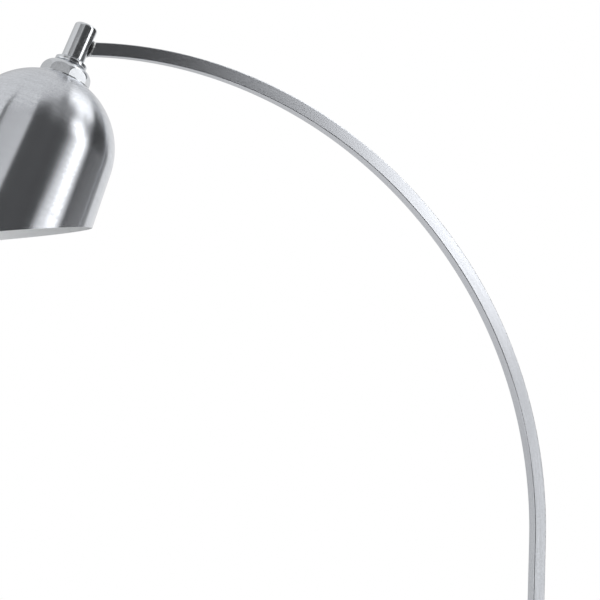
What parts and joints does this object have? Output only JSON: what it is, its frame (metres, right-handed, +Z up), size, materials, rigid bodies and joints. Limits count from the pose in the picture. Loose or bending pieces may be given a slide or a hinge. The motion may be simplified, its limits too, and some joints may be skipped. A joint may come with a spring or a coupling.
{
  "type": "arc floor lamp",
  "caption": "Floor lamp with a round weighted base, a leaning square post bent into a tall arch, and a slant-cut dome shade hung on a swivelling barrel above an eight-sided collar.",
  "frame": {"origin": "on the floor under the centre of the round base, on the middle foot", "axes": "+Z up; the arch lies in the XZ plane and reaches towards -X, where the shade hangs; +X is the side of the cord inlet"},
  "size_m": [1.2435, 0.3382, 1.9514],
  "materials": {
    "steel": "brushed along the tube, satin",
    "shade_metal": "spun and brushed round the axis",
    "chrome": "polished",
    "cast_iron": "black painted casting",
    "plated_steel": "zinc plated",
    "brass": "plain brass",
    "rubber": "matte black",
    "lead_sheath": "black sheath",
    "moulding": "black moulding",
    "porcelain": "white glaze",
    "bulb_metal": "plain",
    "bulb_glass": "opal"
  },
  "bodies": {
    "stand": {"base_weight": "cast_iron", "base_cover": "steel", "base_feet": "rubber", "recess_lid": "plated_steel", "lid_screws": "plated_steel", "cord_bushing": "rubber", "terminal_block": "moulding", "terminal_screws": "brass", "foot_plate": "steel", "foot_screws": "plated_steel", "pole_collar": "steel", "lower_pole": "steel", "splice_sleeve": "steel", "splice_screws": "plated_steel", "arc_tube": "steel", "arm_plug": "steel", "swivel_stem": "plated_steel", "swivel_pad": "moulding", "swivel_washer": "chrome", "spring_washer": "plated_steel", "swivel_nut": "plated_steel", "arm_lead": "lead_sheath"},
    "knuckle": {"barrel": "chrome", "barrel_cap": "chrome", "barrel_bush": "moulding", "knuckle_lead": "lead_sheath"},
    "head": {"neck_pipe": "brass", "neck_nut": "plated_steel", "neck_ring": "chrome", "neck_collar": "chrome", "seat_washer": "chrome", "shade": "shade_metal", "inner_washer": "plated_steel", "lock_nut": "plated_steel", "holder_cap": "moulding", "holder_shell": "moulding", "holder_core": "porcelain", "screw_shell": "brass", "centre_contact": "brass", "holder_lead": "lead_sheath"},
    "switch": {"switch_spindle": "plated_steel", "switch_knob": "moulding"},
    "bulb": {"bulb_cap": "bulb_metal", "bulb_insulator": "moulding", "bulb_contact": "brass", "bulb_glass": "bulb_glass"}
  },
  "joints": [
    {"name": "shade_swing", "type": "hinge", "parent": "stand", "child": "knuckle", "pos_m": [-0.75113, 0, 1.91544], "axis": [0.9107, 0, -0.4131], "range_deg": [-90, 90]},
    {"name": "shade_turn", "type": "hinge", "parent": "knuckle", "child": "head", "pos_m": [-0.83147, 0, 1.73833], "axis": [0.4131, 0, 0.9107], "range_deg": [-150, 150]},
    {"name": "switch_turn", "type": "hinge", "parent": "head", "child": "switch", "pos_m": [-0.791, 0, 1.82756], "axis": [0, -1, 0], "continuous": true},
    {"name": "bulb_unscrew", "type": "slide", "parent": "head", "child": "bulb", "axis": [-0.4131, 0, -0.9107], "range_m": [0, 0.03]}
  ]
}
